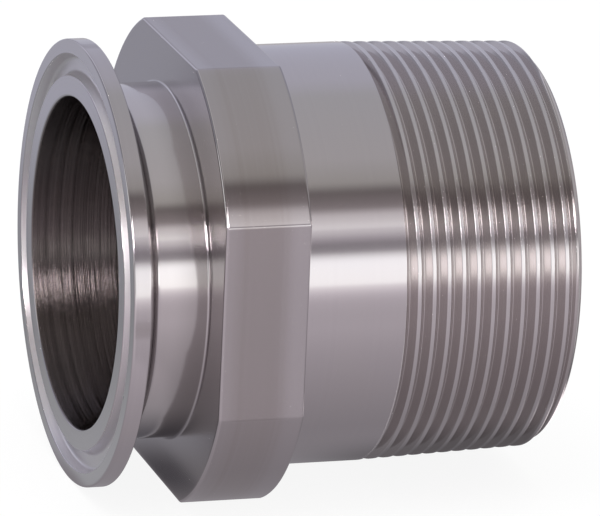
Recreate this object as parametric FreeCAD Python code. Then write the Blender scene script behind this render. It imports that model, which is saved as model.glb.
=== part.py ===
import FreeCAD, Part
import math
import os

# Sanitary clamp by male taper pipe thread adapter for 2 inch hygienic tube.
# One piece of stainless steel, turned on a lathe, with four wrench flats milled on its collar.
# X is the axis: the clamp sealing face is at X = 0 and the threaded end points to +X.
# Z is up, and the part lies on one of its wrench flats. Lengths are in mm, angles in degrees.

# Whole part
overall_length = 66.7
bore_diameter = 47.5
bore_edge_break = 0.3

# Clamp ferrule: rim, gasket groove in the sealing face, tapered back and neck
rim_diameter = 63.9
rim_width = 2.5
rim_edge_break = 0.3
groove_mid_diameter = 56.6
groove_width = 3.2
groove_depth = 1.6
groove_wall_angle = 20.0
back_taper_angle = 20.0
back_corner_radius = 1.0
neck_diameter = 50.8

# Collar with wrench flats
collar_diameter = 69.85
collar_start = 12.8
collar_width = 12.4
across_flats = 63.96
flat_count = 4
collar_edge_break = 0.35
collar_corner_radius = 0.35

# Shank between collar and thread
shank_diameter = 60.3

# Taper pipe thread, 60 degree form, right hand. Its crests start level with the shank, and its groove
# ends at a square shoulder there. groove_place is the angle from the top, towards +Y, at which the
# middle of the groove meets the end face.
threads_per_inch = 11.5
thread_taper = 1.0 / 16.0
thread_length = 26.6
thread_flank_angle = 30.0
crest_flat_per_pitch = 0.235
groove_place = 33.0
end_chamfer_length = 1.2
end_chamfer_below_root = 0.05
cutter_clearance = 0.3

INCH = 25.4
AXIS = FreeCAD.Vector(1, 0, 0)
ORIGIN = FreeCAD.Vector(0, 0, 0)

pitch = INCH / threads_per_inch
thread_start = overall_length - thread_length
thread_end_diameter = shank_diameter - thread_length * thread_taper
half_taper = math.degrees(math.atan(thread_taper / 2))
flank_slope = math.tan(math.radians(thread_flank_angle))
groove_half_width = pitch * (1 - crest_flat_per_pitch) / 2
thread_depth = groove_half_width / flank_slope
end_chamfer_depth = thread_depth + end_chamfer_below_root


def crest_radius(x):
    """Radius of the thread's crests at a place on the axis."""
    return thread_end_diameter / 2 + (overall_length - x) * thread_taper / 2


def point(x, radius):
    """Point of the turned outline, which lies in the XZ plane."""
    return FreeCAD.Vector(x, 0, radius)


def turned(points):
    """Solid of revolution about the axis from a closed outline."""
    face = Part.Face(Part.makePolygon(points + points[:1]))
    return face.revolve(ORIGIN, AXIS, 360)


def corner_run(radius, turn):
    """Length that easing takes from each side of a hollow corner through which the outline turns."""
    return radius * math.tan(math.radians(turn) / 2)


def ferrule():
    """Clamp ferrule and its neck, from the sealing face to the middle of the collar."""
    bore = bore_diameter / 2
    rim = rim_diameter / 2
    neck = neck_diameter / 2
    groove_in = groove_mid_diameter / 2 - groove_width / 2
    groove_out = groove_mid_diameter / 2 + groove_width / 2
    wall_run = groove_depth * math.tan(math.radians(groove_wall_angle))
    back_slope = math.tan(math.radians(back_taper_angle))
    back_end = rim_width + (rim - neck) * back_slope
    back_run = corner_run(back_corner_radius, 90 - back_taper_angle)
    back_rise = back_run * math.cos(math.radians(back_taper_angle))
    collar_run = corner_run(collar_corner_radius, 90)
    collar_middle = collar_start + collar_width / 2
    return turned([
        point(bore_edge_break, bore),
        point(0, bore + bore_edge_break),
        point(0, groove_in),
        point(groove_depth, groove_in + wall_run),
        point(groove_depth, groove_out - wall_run),
        point(0, groove_out),
        point(0, rim - rim_edge_break),
        point(rim_edge_break, rim),
        point(rim_width, rim),
        point(back_end - back_rise * back_slope, neck + back_rise),
        point(back_end + back_run, neck),
        point(collar_start - collar_run, neck),
        point(collar_start, neck + collar_run),
        point(collar_middle, neck + collar_run),
        point(collar_middle, bore),
    ])


def collar():
    """Round collar with wrench flats milled on it and its edges broken."""
    start = FreeCAD.Vector(collar_start, 0, 0)
    ring = Part.makeCylinder(collar_diameter / 2, collar_width, start, AXIS)
    for i in range(flat_count):
        waste = Part.makeBox(collar_width, collar_diameter, collar_diameter)
        waste.translate(FreeCAD.Vector(collar_start, -collar_diameter / 2, across_flats / 2))
        waste.rotate(ORIGIN, AXIS, i * 360 / flat_count)
        ring = ring.cut(waste)
    ring = ring.makeChamfer(collar_edge_break, ring.Edges)
    return ring.cut(Part.makeCylinder(bore_diameter / 2, collar_width, start, AXIS))


def shank():
    """Plain shank, from the middle of the collar to the shoulder where the thread starts."""
    collar_middle = collar_start + collar_width / 2
    start = FreeCAD.Vector(collar_middle, 0, 0)
    length = thread_start - collar_middle
    ring = Part.makeCylinder(shank_diameter / 2, length, start, AXIS)
    return ring.cut(Part.makeCylinder(bore_diameter / 2, length, start, AXIS))


def thread_blank():
    """Tapered blank of the thread, chamfered at the end."""
    bore = bore_diameter / 2
    chamfer_start = overall_length - end_chamfer_length
    return turned([
        point(thread_start, bore),
        point(thread_start, crest_radius(thread_start)),
        point(chamfer_start, crest_radius(chamfer_start)),
        point(overall_length, crest_radius(overall_length) - end_chamfer_depth),
        point(overall_length, bore + bore_edge_break),
        point(overall_length - bore_edge_break, bore),
    ])


def groove_cutter():
    """Vee tool swept towards -X along a right-hand helix on a cone, from beyond one end to beyond the other."""
    start = overall_length + pitch
    length = thread_length + 2 * pitch
    radius = crest_radius(start)
    half_top = groove_half_width + cutter_clearance * flank_slope
    tool = Part.makePolygon([
        FreeCAD.Vector(radius + cutter_clearance, 0, half_top),
        FreeCAD.Vector(radius - thread_depth, 0, 0),
        FreeCAD.Vector(radius + cutter_clearance, 0, -half_top),
        FreeCAD.Vector(radius + cutter_clearance, 0, half_top),
    ])
    helix = Part.makeLongHelix(pitch, length, radius, half_taper)
    cutter = helix.makePipeShell([tool], True, True)
    cutter.rotate(ORIGIN, FreeCAD.Vector(0, 1, 0), -90)
    cutter.rotate(ORIGIN, AXIS, -groove_place)
    cutter.translate(AXIS * start)
    return cutter


def adapter_body():
    threaded_end = thread_blank().cut(groove_cutter())
    return ferrule().fuse([collar(), shank(), threaded_end]).removeSplitter()


os.makedirs("parts", exist_ok=True)
adapter = adapter_body()
adapter.exportStep("parts/adapter_body.step")
print("adapter_body:", len(adapter.Solids), "solid,", round(adapter.Volume), "mm3, valid:", adapter.isValid())
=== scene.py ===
import math

import bpy
import numpy as np
from mathutils import Matrix, Vector

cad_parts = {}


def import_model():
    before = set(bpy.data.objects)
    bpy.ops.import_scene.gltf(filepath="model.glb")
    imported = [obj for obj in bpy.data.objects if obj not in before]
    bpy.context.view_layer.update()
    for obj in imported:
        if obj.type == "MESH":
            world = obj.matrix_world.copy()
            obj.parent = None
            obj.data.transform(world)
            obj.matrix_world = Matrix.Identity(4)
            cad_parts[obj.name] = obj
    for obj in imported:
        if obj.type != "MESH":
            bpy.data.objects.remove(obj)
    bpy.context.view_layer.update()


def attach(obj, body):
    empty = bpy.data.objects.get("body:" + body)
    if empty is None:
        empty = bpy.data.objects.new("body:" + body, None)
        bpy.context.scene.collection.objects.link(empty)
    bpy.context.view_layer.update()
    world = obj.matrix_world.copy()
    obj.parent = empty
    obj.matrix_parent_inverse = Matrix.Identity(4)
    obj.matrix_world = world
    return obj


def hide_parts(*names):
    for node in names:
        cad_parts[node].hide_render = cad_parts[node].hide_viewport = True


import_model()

# Looks of the clamp by taper thread adapter: one turned piece of stainless steel.
# Sizes and places are in mm as a maker would read them, and are scaled to metres where a mesh,
# the lamp or the camera is made.
# The axis is X. Angles round it start at the front (-Y) and rise towards the top (+Z).

MM = 0.001

LENGTH = 66.7
BORE_RADIUS = 23.75
BORE_EASE = 0.3

RIM_RADIUS = 31.95
RIM_WIDTH = 2.5
RIM_EASE = 0.3
RIM_BACK_EASE = 0.2
GROOVE_IN = 26.7
GROOVE_OUT = 29.9
GROOVE_DEPTH = 1.6
GROOVE_WALL_RUN = 0.58
GROOVE_EDGE_EASE = 0.12
GROOVE_FLOOR_EASE = 0.5
TAPER_FOOT = 4.884
TAPER_FOOT_EASE = 1.0
NECK_RADIUS = 25.4

COLLAR_START = 12.8
COLLAR_END = 25.2
COLLAR_RADIUS = 34.925
COLLAR_FOOT_EASE = 0.35
COLLAR_REAR_EASE = 0.4
FLAT_HEIGHT = 31.98
FLAT_COUNT = 4
EDGE_BREAK = 0.4
FLAT_SIDE_BREAK = 0.1

SHANK_RADIUS = 30.15
THREAD_START = 40.1
STEP_EASE = 0.04
PITCH = 25.4 / 11.5
TAPER_PER_MM = 1 / 32
SMALL_END_CREST = SHANK_RADIUS - (LENGTH - THREAD_START) * TAPER_PER_MM
CREST_FLAT = 0.52
ROOT_FLAT = 0.16
FLANK_RISE = math.sqrt(3)
THREAD_DEPTH = (PITCH - CREST_FLAT - ROOT_FLAT) / 2 * FLANK_RISE
ROOT_EASE = 0.12
CREST_EASE = 0.07
GROOVE_PLACE = math.radians(123)
END_CHAMFER_LENGTH = 1.2
END_CHAMFER_DEPTH = 1.513
END_CHAMFER_EASE = 0.08
END_EASE = 0.15

# The mesh: even steps round the axis, degrees off each edge of a flat, how close a row is held to
# a rounded corner, steps in a corner, rows along the bore, and rows of one turn of the thread by
# their distance from the groove's middle.
EVEN_STEPS = 216
NEAR_EDGE = (-0.5, -0.25, -0.1, 0.0, 0.1, 0.25, 0.5)
HOLD = 0.12
ARC_STEPS = 4
BORE_ROWS = 8
THREAD_ROWS = (-0.93, -0.88, -0.845, -0.81, -0.76, -0.4, -0.18, -0.12, -0.06, 0.0,
               0.06, 0.12, 0.18, 0.4, 0.76, 0.81, 0.845, 0.88, 0.93, 1.1043)


def angles_round():
    """Angles of the mesh round the axis, closer together where a flat meets the collar's round."""
    edge = math.degrees(math.acos(FLAT_HEIGHT / COLLAR_RADIUS))
    step = 360 / FLAT_COUNT
    close = [i * step + side * edge + near
             for i in range(FLAT_COUNT) for side in (-1, 1) for near in NEAR_EDGE]
    even = np.arange(EVEN_STEPS) * 360 / EVEN_STEPS
    return np.radians(np.unique(np.round(np.concatenate([even, np.array(close) % 360]), 4)))


ANGLES = angles_round()


def soft_min(a, b, ease):
    """The smaller of two radii, with the edge between them eased."""
    near = np.maximum(ease - np.abs(a - b), 0)
    return np.minimum(a, b) - near ** 2 / (4 * ease)


def crest_radius(x):
    """Radius of the thread's crests at a place on the axis."""
    return SMALL_END_CREST + (LENGTH - x) * TAPER_PER_MM


def collar_radius(inset):
    """Radius of the collar round the axis: round, with flats, and smaller by inset all round."""
    step = 2 * math.pi / FLAT_COUNT
    off_flat = (ANGLES + step / 2) % step - step / 2
    flats = (FLAT_HEIGHT - inset) / np.cos(off_flat)
    return soft_min(COLLAR_RADIUS - inset, flats, FLAT_SIDE_BREAK)


def thread_radius(x, angle):
    """Radius of the threaded end: crests, groove with a rounded root, end chamfer."""
    turns = (LENGTH - x) / PITCH - (angle - GROOVE_PLACE) / (2 * math.pi)
    off_middle = np.abs(turns - np.round(turns)) * PITCH
    crest = crest_radius(x)
    flank = (off_middle - ROOT_FLAT / 2) * FLANK_RISE
    groove = crest - THREAD_DEPTH - soft_min(-flank, 0, ROOT_EASE)
    slope = (END_CHAMFER_DEPTH + END_CHAMFER_LENGTH * TAPER_PER_MM) / END_CHAMFER_LENGTH
    chamfer = SMALL_END_CREST - END_CHAMFER_DEPTH + (LENGTH - x) * slope
    return soft_min(soft_min(crest, groove, CREST_EASE), chamfer, END_CHAMFER_EASE)


def eased(corners):
    """Turned outline from corners (x, radius, ease), rounded, with a point close on both sides."""
    out = [corners[0][:2]]
    for before, here, after in zip(corners, corners[1:], corners[2:]):
        corner = np.array(here[:2], float)
        come = corner - before[:2]
        go = np.array(after[:2], float) - corner
        room = min(np.linalg.norm(come), np.linalg.norm(go))
        come, go = come / np.linalg.norm(come), go / np.linalg.norm(go)
        turn = math.acos(np.clip(come @ go, -1, 1))
        side = np.sign(come[0] * go[1] - come[1] * go[0])
        run = here[2] * math.tan(turn / 2)
        hold = min(HOLD, room / 6)
        first = corner - come * run
        centre = first + side * here[2] * np.array([-come[1], come[0]])
        out.append(tuple(first - come * hold))
        for k in range(ARC_STEPS + 1):
            bend = side * turn * k / ARC_STEPS
            arm = first - centre
            out.append((centre[0] + arm[0] * math.cos(bend) - arm[1] * math.sin(bend),
                        centre[1] + arm[0] * math.sin(bend) + arm[1] * math.cos(bend)))
        out.append(tuple(corner + go * (run + hold)))
    out.append(corners[-1][:2])
    return out


class Skin:
    """Closed skin of the part: rows of points round the axis, each joined to the row before."""

    def __init__(self):
        self.points = []
        self.rows = []

    def add(self, x, radius, angle):
        self.points.append((x, -radius * math.cos(angle), radius * math.sin(angle)))
        return len(self.points) - 1

    def ring(self, x, radius):
        """Row at one place on the axis, of one radius or of one for each angle."""
        radii = np.broadcast_to(radius, ANGLES.shape)
        row = [self.add(x, r, a) for r, a in zip(radii, ANGLES)]
        self.rows.append(row + row[:1])

    def outline(self, points):
        for x, radius in points:
            self.ring(x, radius)

    def thread(self, start, end):
        """Rows that follow the thread's helix from the row at start to the one at end."""
        first = self.rows[-1]
        radii = thread_radius(np.full(ANGLES.shape, end), ANGLES)
        last = [self.add(end, r, a) for r, a in zip(radii, ANGLES)]
        last += last[:1]
        at_front = LENGTH + PITCH * GROOVE_PLACE / (2 * math.pi)
        turns = int((end - start) / PITCH) + 3
        places = np.sort([at_front - n * PITCH + row
                          for n in range(-2, turns) for row in THREAD_ROWS])
        wound = []
        for place in places:
            xs = place - PITCH * ANGLES / (2 * math.pi)
            radii = thread_radius(xs, ANGLES)
            row = []
            for j, (x, radius) in enumerate(zip(xs, radii)):
                if x <= start + HOLD / 4:
                    row.append(first[j])
                elif x >= end - HOLD / 4:
                    row.append(last[j])
                else:
                    row.append(self.add(x, radius, ANGLES[j]))
            turn_before = len(wound) - len(THREAD_ROWS)
            row.append(wound[turn_before][0] if turn_before >= 0 else first[0])
            wound.append(row)
        self.rows += wound
        self.rows.append(last)

    def faces(self):
        out = []
        for row, after in zip(self.rows, self.rows[1:] + self.rows[:1]):
            for j in range(len(row) - 1):
                corners = [row[j], after[j], after[j + 1], row[j + 1]]
                corners = [c for k, c in enumerate(corners) if c != corners[k - 1]]
                if len(set(corners)) > 2:
                    out.append(corners)
        return out


def adapter_mesh():
    skin = Skin()
    wall = GROOVE_WALL_RUN
    skin.outline(eased([
        (LENGTH / BORE_ROWS, BORE_RADIUS, 0),
        (0, BORE_RADIUS, BORE_EASE),
        (0, GROOVE_IN, GROOVE_EDGE_EASE),
        (GROOVE_DEPTH, GROOVE_IN + wall, GROOVE_FLOOR_EASE),
        (GROOVE_DEPTH, GROOVE_OUT - wall, GROOVE_FLOOR_EASE),
        (0, GROOVE_OUT, GROOVE_EDGE_EASE),
        (0, RIM_RADIUS, RIM_EASE),
        (RIM_WIDTH, RIM_RADIUS, RIM_BACK_EASE),
        (TAPER_FOOT, NECK_RADIUS, TAPER_FOOT_EASE),
        (COLLAR_START, NECK_RADIUS, COLLAR_FOOT_EASE),
        (COLLAR_START, NECK_RADIUS + 2 * COLLAR_FOOT_EASE, 0),
    ]))
    quarter = [math.pi / 2 * k / ARC_STEPS for k in range(ARC_STEPS + 1)]
    skin.ring(COLLAR_START, collar_radius(EDGE_BREAK) - HOLD)
    for bend in quarter:
        broken = collar_radius(EDGE_BREAK * (1 - math.sin(bend)))
        skin.ring(COLLAR_START + EDGE_BREAK * (1 - math.cos(bend)), broken)
    skin.ring(COLLAR_START + EDGE_BREAK + HOLD, collar_radius(0))
    skin.ring(COLLAR_END - EDGE_BREAK - HOLD, collar_radius(0))
    for bend in reversed(quarter):
        broken = collar_radius(EDGE_BREAK * (1 - math.sin(bend)))
        skin.ring(COLLAR_END - EDGE_BREAK * (1 - math.cos(bend)), broken)
    skin.ring(COLLAR_END, collar_radius(EDGE_BREAK) - HOLD)
    skin.outline(eased([
        (COLLAR_END, SHANK_RADIUS + 2 * COLLAR_REAR_EASE, 0),
        (COLLAR_END, SHANK_RADIUS, COLLAR_REAR_EASE),
        (THREAD_START - 2 * STEP_EASE, SHANK_RADIUS, 0),
    ]))
    thread_foot = THREAD_START + STEP_EASE
    at_wall = thread_radius(np.full(ANGLES.shape, THREAD_START), ANGLES)
    drop = np.minimum(STEP_EASE, (SHANK_RADIUS - at_wall) / 2)
    skin.ring(THREAD_START - STEP_EASE, SHANK_RADIUS)
    skin.ring(THREAD_START, SHANK_RADIUS - drop)
    skin.ring(THREAD_START, at_wall + drop)
    skin.ring(THREAD_START, at_wall)
    skin.ring(thread_foot, thread_radius(np.full(ANGLES.shape, thread_foot), ANGLES))
    end = LENGTH - END_EASE
    skin.thread(thread_foot, end)
    mouth = thread_radius(np.full(ANGLES.shape, end), ANGLES)
    for bend in quarter[1:]:
        skin.ring(end + END_EASE * math.sin(bend), mouth - END_EASE * (1 - math.cos(bend)))
    skin.ring(LENGTH, mouth - END_EASE - HOLD)
    skin.outline(eased([
        (LENGTH, (BORE_RADIUS + SMALL_END_CREST) / 2, 0),
        (LENGTH, BORE_RADIUS, BORE_EASE),
        (LENGTH * (BORE_ROWS - 1) / BORE_ROWS, BORE_RADIUS, 0),
    ]))
    for row in range(BORE_ROWS - 2, 1, -1):
        skin.ring(LENGTH * row / BORE_ROWS, BORE_RADIUS)
    mesh = bpy.data.meshes.new("adapter")
    mesh.from_pydata((np.array(skin.points) * MM).tolist(), [], skin.faces())
    mesh.validate()
    mesh.polygons.foreach_set("use_smooth", np.ones(len(mesh.polygons), bool))
    mesh.update()
    return mesh


class Value:
    """A value, colour or vector inside a material. Sums of values add their own Math nodes."""

    def __init__(self, finish, socket):
        self.finish = finish
        self.socket = socket

    def maths(self, operation, *values):
        return self.finish.node("ShaderNodeMath", {"operation": operation}, dict(enumerate(values)))

    def __add__(self, other):
        return self.maths("ADD", self, other)

    def __sub__(self, other):
        return self.maths("SUBTRACT", self, other)

    def __rsub__(self, other):
        return self.maths("SUBTRACT", other, self)

    def __mul__(self, other):
        return self.maths("MULTIPLY", self, other)

    def __pow__(self, other):
        return self.maths("POWER", self, other)

    def __abs__(self):
        return self.maths("ABSOLUTE", self)

    __radd__ = __add__
    __rmul__ = __mul__

    def larger(self, other):
        return self.maths("MAXIMUM", self, other)

    def rise(self, low, high):
        """0 below low, 1 above high, and a smooth step between them."""
        return self.finish.node("ShaderNodeMapRange", {"interpolation_type": "SMOOTHSTEP"},
                                {"Value": self, "From Min": low, "From Max": high})

    def fall(self, low, high):
        """1 below low, 0 above high, and a smooth step between them."""
        return 1 - self.rise(low, high)

    def between(self, low, first, last, high):
        """1 from first to last, 0 outside low and high, and smooth steps between them."""
        return self.rise(low, first) * self.fall(last, high)


class Finish:
    """A material and its nodes."""

    def __init__(self, name):
        self.material = bpy.data.materials.new(name)
        self.material.use_nodes = True
        self.tree = self.material.node_tree
        self.tree.nodes.clear()

    def node(self, kind, settings=None, sockets=None, out=0):
        """Adds a node: settings or a ramp's stops first, then the values or links of its sockets.
        Gives one output, if the node has any."""
        node = self.tree.nodes.new(kind)
        for name, value in (settings or {}).items():
            if name == "stops":
                bands = node.color_ramp.elements
                while len(bands) < len(value):
                    bands.new(0.5)
                for band, (place, colour) in zip(bands, value):
                    band.position, band.color = place, colour
            else:
                setattr(node, name, value)
        for name, value in (sockets or {}).items():
            if isinstance(value, Value):
                self.tree.links.new(value.socket, node.inputs[name])
            else:
                node.inputs[name].default_value = value
        return Value(self, node.outputs[out]) if len(node.outputs) else None

    def parts(self, vector):
        """The three parts of a vector."""
        return [self.node("ShaderNodeSeparateXYZ", sockets={0: vector}, out=i) for i in range(3)]

    def scale(self, colour, strength):
        return self.node("ShaderNodeVectorMath", {"operation": "SCALE"},
                         {0: colour, "Scale": strength})

    def place(self):
        """Place in mm, as a vector."""
        return self.scale(self.node("ShaderNodeTexCoord", out="Object"), 1 / MM)

    def lines(self, along, per_mm, detail):
        """Fine marks that change only along one direction, from 0 to 1."""
        return self.node("ShaderNodeTexNoise", {"noise_dimensions": "1D"},
                         {"W": along * per_mm, "Scale": 1.0, "Detail": detail, "Roughness": 0.6})

    def patches(self, where, per_mm):
        """Soft clouds, from 0 to 1."""
        return self.node("ShaderNodeTexNoise", {"noise_dimensions": "3D"},
                         {"Vector": where, "Scale": per_mm, "Detail": 3.0, "Roughness": 0.55})

    def mix_colour(self, share, one, other):
        """The first colour, with a share of the other in it."""
        return self.node("ShaderNodeMix", {"data_type": "RGBA"},
                         {0: share, 6: one, 7: other}, out=2)

    def output(self, surface):
        self.node("ShaderNodeOutputMaterial", sockets={"Surface": surface})


# Colours of the steel: between the fine marks and on them, in the clouds, and in its places.
MARK_LOW = (0.56, 0.53, 0.545, 1)
MARK_HIGH = (0.64, 0.61, 0.62, 1)
CLOUD = (0.62, 0.59, 0.575, 1)
SHANK_STEEL = (0.68, 0.65, 0.66, 1)
NECK_NEAR_RIM = (0.71, 0.675, 0.67, 1)
# Steel of the neck near the collar, darker: painted shade where the neck meets the collar.
NECK_PAINTED_SHADE_NEAR_COLLAR = (0.51, 0.48, 0.475, 1)
COLLAR_STEEL = (0.5, 0.46, 0.452, 1)
FLAT_STEEL = (0.38, 0.35, 0.345, 1)
# Lighter steel in the sealing face's groove: painted light in the recess.
GROOVE_PAINTED_LIGHT = (0.78, 0.75, 0.76, 1)
# Lighter steel near the collar's front and rear edges.
COLLAR_EDGE_STEEL = (0.61, 0.585, 0.6, 1)
# Darker steel on the collar's faces: painted shade.
COLLAR_FACE_PAINTED_SHADE = (0.34, 0.315, 0.31, 1)
# Darker, browner steel on the threaded end: painted shade in the thread's grooves.
THREAD_PAINTED_SHADE = (0.57, 0.525, 0.505, 1)
# Lighter steel on the thread's crests: painted highlight.
CREST_PAINTED_HIGHLIGHT = (0.7, 0.675, 0.68, 1)
# Dark steel in the bore: painted shade inside the hole.
BORE_PAINTED_SHADE = (0.22, 0.19, 0.185, 1)
# Marks per mm, and the height of a mark in metres. The bore's feed marks are higher by a factor.
FINE_MARKS = 9.0
BROAD_MARKS = 1.3
FEED_MARKS = 50.0
CLOUDS_PER_MM = 0.11
MARK_HEIGHT = 1.5e-6
FEED_FACTOR = 8.0


def turned_steel():
    """Stainless steel as the lathe leaves it: fine rings round the axis, duller on the flats.
    Painted shade and painted highlights are mixed into the colours of some places.
    """
    steel = Finish("turned_stainless_steel")
    where = steel.place()
    x, y, z = steel.parts(where)
    end_face = abs(steel.parts(steel.node("ShaderNodeTexCoord", out="Normal"))[0]).rise(0.9, 0.98)
    out = (y * y + z * z) ** 0.5

    # Places on the part, each 1 there and 0 elsewhere. The small numbers are the mm of its fades.
    bore = out.fall(BORE_RADIUS + 0.05, BORE_RADIUS + 0.15)
    groove = (x.between(0.05, 0.15, GROOVE_DEPTH + 0.1, GROOVE_DEPTH + 0.2)
              * out.between(GROOVE_IN - 0.2, GROOVE_IN, GROOVE_OUT, GROOVE_OUT + 0.2))
    neck = (x.between(TAPER_FOOT, TAPER_FOOT + 1, COLLAR_START - 0.4, COLLAR_START)
            * (1 - bore) * (1 - end_face))
    after_collar = x.rise(COLLAR_END - 0.1, COLLAR_END + 0.1)
    collar = x.rise(COLLAR_START, COLLAR_START + 0.2) * (1 - after_collar) * (1 - bore)
    collar_face = end_face * x.rise(COLLAR_START - 0.2, COLLAR_START) * (1 - after_collar)
    flat = abs(y).larger(abs(z)).rise(FLAT_HEIGHT - 0.08, FLAT_HEIGHT - 0.02)
    # Lighter near the collar's front and rear edges.
    lighter_near_collar_edges = (x.fall(COLLAR_START + 0.2, COLLAR_START + 3.2) * 0.45
              + x.rise(COLLAR_END - 5, COLLAR_END - 1.5) * 0.65)
    threaded = x.rise(THREAD_START - 0.1, THREAD_START + 0.1)
    below_crest = (LENGTH - x) * TAPER_PER_MM + SMALL_END_CREST - out
    crest = threaded * below_crest.fall(0.04, 0.12) * (1 - end_face)

    along = x * (1 - end_face) + out * end_face
    fine = steel.lines(along, FINE_MARKS, 3.0)
    broad = steel.lines(along + 40, BROAD_MARKS, 2.0)
    feed = steel.lines(x, FEED_MARKS, 0.0)
    cloud = steel.patches(where, CLOUDS_PER_MM)

    tone = steel.mix_colour(fine * 0.6 + broad * 0.4, MARK_LOW, MARK_HIGH)
    neck_steel_and_shade = steel.mix_colour(x.rise(7, 12), NECK_NEAR_RIM, NECK_PAINTED_SHADE_NEAR_COLLAR)
    for share, colour in (
        (cloud.rise(0.35, 0.7) * 0.35, CLOUD),
        (after_collar * 0.5, SHANK_STEEL),
        (neck * 0.8, neck_steel_and_shade),
        (collar * (broad * 0.4 + 0.5), COLLAR_STEEL),
        (flat * 0.55, FLAT_STEEL),
        (groove * 0.7, GROOVE_PAINTED_LIGHT),
        (lighter_near_collar_edges * collar, COLLAR_EDGE_STEEL),
        (collar_face * 0.7, COLLAR_FACE_PAINTED_SHADE),
        (threaded * 0.5, THREAD_PAINTED_SHADE),
        (crest * 0.8, CREST_PAINTED_HIGHLIGHT),
        (bore, BORE_PAINTED_SHADE),
    ):
        tone = steel.mix_colour(share, tone, colour)

    rough = (0.06 + fine * 0.05 + cloud * 0.03 + flat * 0.1 + collar_face * 0.1 + bore * 0.08
             + threaded * 0.05 + groove * 0.22)
    height = (fine * 0.7 + broad * 0.3) * (1 - threaded * 0.6) + feed * bore * FEED_FACTOR
    bump = steel.node("ShaderNodeBump", sockets={
        "Strength": 1.0, "Distance": MARK_HEIGHT, "Height": height})
    steel.output(steel.node("ShaderNodeBsdfPrincipled", sockets={
        "Base Color": tone, "Metallic": 1.0, "Roughness": rough, "Normal": bump}))
    return steel.material


def adapter():
    """The whole adapter, which stands for its CAD node."""
    piece = bpy.data.objects.new("adapter", adapter_mesh())
    bpy.context.collection.objects.link(piece)
    piece.data.materials.append(turned_steel())
    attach(piece, "root")
    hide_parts("adapter_body")
    return piece


# Studio, in mm: a table, a round tent of light panels over it, and a glowing mat under the part,
# into which the part's shadow is painted. Only reflections in the steel show the tent and the mat.
# GLOW multiplies their plain colours, and the brightness in their tables is the one that shows.

TABLE_HEIGHT = -FLAT_HEIGHT
TABLE_SIZE = 8000
TABLE_PAPER = (0.86, 0.86, 0.86, 1)
TABLE_WHITE_SHARE = 0.9
TENT_RADIUS = 1500
TENT_LENGTH = 6000
TENT_STEPS = 180
TENT_BELOW = 3
MAT_ABOVE_TABLE = 0.05
GLOW = 2.0
# Brightness and tint of the tent's panels by angle above the front horizon, fading into each other.
TENT_PANELS = (
    (-3, 1.1, (1.0, 0.97, 0.98)),
    (-1, 1.4, (1.0, 0.99, 0.99)),
    (12, 1.4, (1.0, 1.0, 1.02)),
    (15, 0.95, (1.0, 0.98, 1.0)),
    (17, 0.35, (1.0, 0.93, 1.0)),
    (21, 0.3, (1.0, 0.92, 1.0)),
    (24, 0.5, (1.0, 0.92, 1.0)),
    (30, 1.0, (1.0, 0.97, 0.98)),
    (37, 0.68, (1.0, 0.94, 0.96)),
    (40, 0.29, (1.0, 0.88, 0.9)),
    (49, 0.17, (1.0, 0.88, 0.88)),
    (54, 0.42, (1.0, 0.96, 0.93)),
    (68, 0.49, (1.0, 0.97, 0.99)),
    (110, 0.48, (0.99, 0.99, 1.04)),
    (124, 0.53, (0.99, 0.99, 1.13)),
    (165, 0.54, (0.98, 0.99, 1.18)),
    (183, 0.57, (0.99, 1.0, 1.15)),
)
TENT_END = (0.25, 0.24, 0.25, 1)
# Panels left and right of the part that are brighter or darker than the rest, by place along the
# axis and by angle. Of four numbers a panel fades in over the first two and out over the last two.
BESIDE = (-700, -600, -300, -200)
BESIDE_HIGH = (39, 42, 155, 172)
BESIDE_HIGH_GAIN = 0.65
AWAY = (-120, -40)
AWAY_LOSS = 0.4
AWAY_LOW = (15, 17)
AWAY_LOW_LOSS = 0.5
STRIP_ANGLES = (22, 25, 37, 40)
STRIP_FAR = (-1290, -1250, -1030, -990)
STRIP_FAR_GAIN = 70
STRIP_NEAR = (-220, -200, -110, -90)
STRIP_NEAR_GAIN = 30
FLANK_LIGHT = (950, 1150)
FLANK_LIGHT_ANGLES = (12, 14)
FLANK_LIGHT_GAIN = 1.1
FAR_END = (700, 900)
FAR_END_LOSS = 0.15
FAR_END_BACK = (119, 140)
FAR_END_BACK_LOSS = 0.25
# Brightness and tint of the mat by distance in front of the part's axis, darker near the axis: the
# part's painted shadow.
MAT_REACH = 1500
MAT_TONES = (
    (-1500, 0.6, (0.97, 1.0, 1.17)),
    (-60, 0.57, (0.97, 1.0, 1.17)),
    (0, 0.29, (1.0, 0.96, 1.03)),
    (25, 0.31, (1.0, 0.93, 1.0)),
    (36, 0.37, (1.0, 0.92, 0.99)),
    (50, 0.43, (1.0, 0.92, 0.99)),
    (70, 0.49, (1.0, 0.92, 0.99)),
    (90, 0.54, (1.0, 0.92, 0.99)),
    (130, 0.545, (1.0, 0.92, 0.99)),
    (220, 0.6, (1.0, 0.92, 0.99)),
    (400, 0.78, (1.0, 0.93, 0.99)),
    (700, 0.98, (1.0, 0.94, 0.98)),
    (1500, 1.1, (1.0, 0.95, 0.98)),
)
# The same ahead of the sealing face, by distance behind the part's axis.
AHEAD_REACH = 400
AHEAD_TONES = (
    (0, 0.42, (1.0, 1.02, 1.07)),
    (15, 0.4, (1.0, 1.02, 1.07)),
    (70, 0.31, (1.0, 1.02, 1.08)),
    (130, 0.35, (1.0, 1.02, 1.12)),
    (190, 0.47, (1.0, 1.01, 1.17)),
    (400, 0.47, (1.0, 1.01, 1.17)),
)
# Painted shadow on the mat under the neck and under the threaded end, and a painted lighter patch
# beside the part's end.
UNDER_NECK_PAINTED_SHADOW = (0.055, 0.052, 0.059, 1)
UNDER_THREAD_PAINTED_SHADOW = (0.05, 0.047, 0.05, 1)
BESIDE_END = (0.9, 0.84, 0.87, 1)


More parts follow.
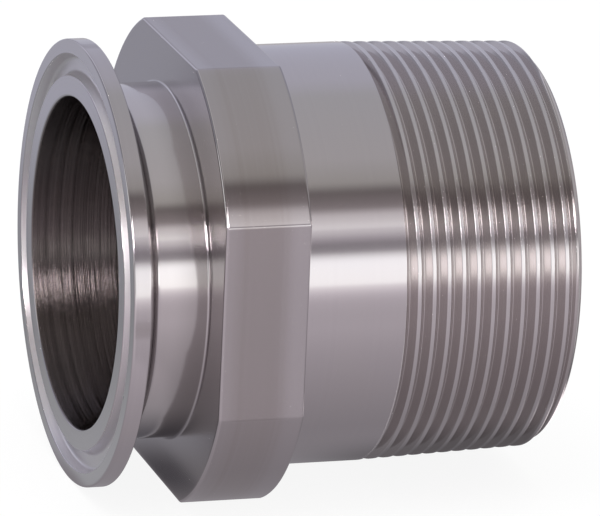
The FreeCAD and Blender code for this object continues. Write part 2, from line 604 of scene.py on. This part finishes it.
def stage_sheet(name, points, faces, material):
    """Thin sheet of the studio, from points in mm."""
    mesh = bpy.data.meshes.new(name)
    mesh.from_pydata([[c * MM for c in point] for point in points], [], faces)
    mesh.materials.append(material)
    sheet = bpy.data.objects.new(name, mesh)
    bpy.context.collection.objects.link(sheet)
    return sheet


def flat_sheet(name, half_x, half_y, height, material):
    corners = [(-half_x, -half_y, height), (half_x, -half_y, height),
               (half_x, half_y, height), (-half_x, half_y, height)]
    return stage_sheet(name, corners, [(0, 1, 2, 3)], material)


def ramp(finish, along, low, high, stops):
    """Colour that fades from stop to stop: (place between low and high, brightness, tint)."""
    reach = high - low
    bands = [((place - low) / reach, (*[brightness / GLOW * t for t in tint], 1))
             for place, brightness, tint in stops]
    return finish.node("ShaderNodeValToRGB", {"stops": bands}, {"Fac": (along - low) * (1 / reach)})


def glow(finish, colour):
    """Makes a material only shine."""
    finish.output(finish.node("ShaderNodeEmission", sockets={"Color": colour, "Strength": GLOW}))
    finish.material.cycles.emission_sampling = "NONE"
    return finish.material


def tent_cloth():
    """The tent's panels. Left and right of the part some of them are brighter or darker."""
    cloth = Finish("tent_cloth")
    x, y, z = cloth.parts(cloth.place())
    turn = z.maths("ARCTAN2", z, y * -1) * (180 / math.pi)
    turn = turn.maths("WRAP", turn, 270, -90)
    beside = x.between(*BESIDE)
    away = x.fall(*AWAY) * (1 - beside)
    # A bright strip that lights the bore's feed marks.
    strip = x.between(*STRIP_FAR) * STRIP_FAR_GAIN + x.between(*STRIP_NEAR) * STRIP_NEAR_GAIN
    strip *= turn.between(*STRIP_ANGLES)
    # What the neck and the collar's face see of each other's light.
    high = beside * turn.between(*BESIDE_HIGH)
    # What only the thread's flanks see.
    flank = x.rise(*FLANK_LIGHT) * turn.fall(*FLANK_LIGHT_ANGLES)
    far = x.rise(*FAR_END) * (turn.rise(*FAR_END_BACK) * FAR_END_BACK_LOSS + FAR_END_LOSS)
    strength = ((1 + strip) * (1 - away * turn.fall(*AWAY_LOW) * AWAY_LOW_LOSS)
                * (1 - away * AWAY_LOSS) * (1 + high * BESIDE_HIGH_GAIN) * (1 - far)
                * (1 + flank * FLANK_LIGHT_GAIN))
    return glow(cloth, cloth.scale(ramp(cloth, turn, -90, 270, TENT_PANELS), strength))


def painted_shadow_mat():
    """The mat, a glowing sheet that only the steel's reflections show, with the part's painted
    shadow in it: darker near and under the part, lighter beside its end.
    """
    mat = Finish("painted_shadow_mat")
    x, y, _ = mat.parts(mat.place())
    front = y * -1
    nearer = x.between(-200, -160, 12, 16) * front.rise(5, 25)
    colour = mat.scale(ramp(mat, front, -MAT_REACH, MAT_REACH, MAT_TONES), 1 + nearer * 0.2)
    # Each place by mm along the axis, in front of it (front) or behind it (y), and its tone.
    for share, tone in (
        (x.fall(-2.5, -0.5) * front.fall(0, 20),
         ramp(mat, y, -AHEAD_REACH, AHEAD_REACH, AHEAD_TONES)),
        # Painted shadow under the neck.
        (x.between(6.5, 8.5, 11.8, 13.4) * front.fall(2, 22) * y.fall(0, 20), UNDER_NECK_PAINTED_SHADOW),
        # Painted shadow under the threaded end.
        (x.rise(25, 50) * front.fall(8, 20) * y.fall(30, 80) * 0.8, UNDER_THREAD_PAINTED_SHADOW),
        (x.between(69, 72, 84, 90) * front.between(-45, -35, 15, 25), BESIDE_END),
        (x.rise(95, 120) * front.fall(-10, 0), TENT_END),
    ):
        colour = mat.mix_colour(share, colour, tone)
    return glow(mat, colour)


def light_tent():
    half = TENT_LENGTH / 2
    turns = [math.radians(-TENT_BELOW + (180 + 2 * TENT_BELOW) * k / TENT_STEPS)
             for k in range(TENT_STEPS + 1)]
    points = [(x, -TENT_RADIUS * math.cos(t), TENT_RADIUS * math.sin(t))
              for t in turns for x in (-half, half)]
    panels = [(2 * k, 2 * k + 1, 2 * k + 3, 2 * k + 2) for k in range(TENT_STEPS)]
    rim = [point for point in points if point[0] > 0]
    for sheet in (
        stage_sheet("tent_walls", points, panels, tent_cloth()),
        stage_sheet("tent_end", rim, [tuple(range(len(rim)))], glow(Finish("tent_end"), TENT_END)),
        flat_sheet("painted_shadow_mat", half, TENT_RADIUS, TABLE_HEIGHT + MAT_ABOVE_TABLE, painted_shadow_mat()),
    ):
        sheet.visible_camera = False
        sheet.visible_diffuse = False
        sheet.visible_transmission = False
        sheet.visible_volume_scatter = False
        sheet.visible_shadow = False


def table():
    """Pale table that fades to white where it is seen, and keeps the part's shadow."""
    paper = Finish("white_table")
    seen = [paper.node("ShaderNodeLightPath", out=f"Is {ray} Ray")
            for ray in ("Camera", "Glossy", "Transmission")]
    share = seen[0].larger(seen[1]).larger(seen[2]) * TABLE_WHITE_SHARE
    lit = paper.node("ShaderNodeBsdfDiffuse", sockets={"Color": TABLE_PAPER})
    white = paper.node("ShaderNodeEmission", sockets={"Color": (1, 1, 1, 1), "Strength": 1.0})
    paper.output(paper.node("ShaderNodeMixShader", sockets={0: share, 1: lit, 2: white}))
    paper.material.cycles.emission_sampling = "NONE"
    flat_sheet("table", TABLE_SIZE / 2, TABLE_SIZE / 2, TABLE_HEIGHT, paper.material)


def world():
    room = bpy.data.worlds.new("room")
    room.use_nodes = True
    room.node_tree.nodes["Background"].inputs["Color"].default_value = (1, 1, 1, 1)
    room.node_tree.nodes["Background"].inputs["Strength"].default_value = 1.0
    bpy.context.scene.world = room


# The lamp, whose light only the table shows.
LAMP_PLACE = (-100, -200, 750)
LAMP_AIM = (30, 0, 0)
LAMP_SIZE = (600, 500)
LAMP_POWER = 4.0


def overhead_lamp():
    lamp = bpy.data.lights.new("overhead", "AREA")
    lamp.shape = "RECTANGLE"
    lamp.size, lamp.size_y = (side * MM for side in LAMP_SIZE)
    lamp.energy = LAMP_POWER
    holder = bpy.data.objects.new("overhead", lamp)
    holder.location = Vector(LAMP_PLACE) * MM
    aim = Vector(LAMP_AIM) * MM - holder.location
    holder.rotation_euler = aim.to_track_quat("-Z", "Y").to_euler()
    holder.visible_glossy = False
    bpy.context.collection.objects.link(holder)


# The camera, fitted to the photo: degrees, then its distance from the point on the axis that it is
# turned to, its shift across and up, and that point's place along the axis.
CAMERA_AZIMUTH = -17.539
CAMERA_ELEVATION = 16.871
CAMERA_ROLL = 2.572
CAMERA_DISTANCE = 985.545
CAMERA_SIDE = -0.365
CAMERA_RISE = -0.783
CAMERA_AIM = 34.0
LENS = 411.79
SENSOR = 36.0


def camera():
    turn, rise, roll = (math.radians(v) for v in (CAMERA_AZIMUTH, CAMERA_ELEVATION, CAMERA_ROLL))
    back = Vector((math.sin(turn) * math.cos(rise), -math.cos(turn) * math.cos(rise),
                   math.sin(rise)))
    level = Vector((math.cos(turn), math.sin(turn), 0))
    upright = back.cross(level)
    right = math.cos(roll) * level + math.sin(roll) * upright
    up = math.cos(roll) * upright - math.sin(roll) * level
    place = (back * CAMERA_DISTANCE + right * CAMERA_SIDE + up * CAMERA_RISE
             + Vector((CAMERA_AIM, 0, 0)))
    data = bpy.data.cameras.new("camera")
    data.sensor_fit = "HORIZONTAL"
    data.sensor_width = SENSOR
    data.lens = LENS
    data.clip_start, data.clip_end = 0.01, 50
    holder = bpy.data.objects.new("camera", data)
    turned = Matrix((right, up, back)).transposed().to_4x4()
    holder.matrix_world = Matrix.Translation(place * MM) @ turned
    bpy.context.collection.objects.link(holder)
    bpy.context.scene.camera = holder


adapter()
light_tent()
table()
world()
overhead_lamp()
camera()
bpy.context.scene.view_settings.view_transform = "Standard"
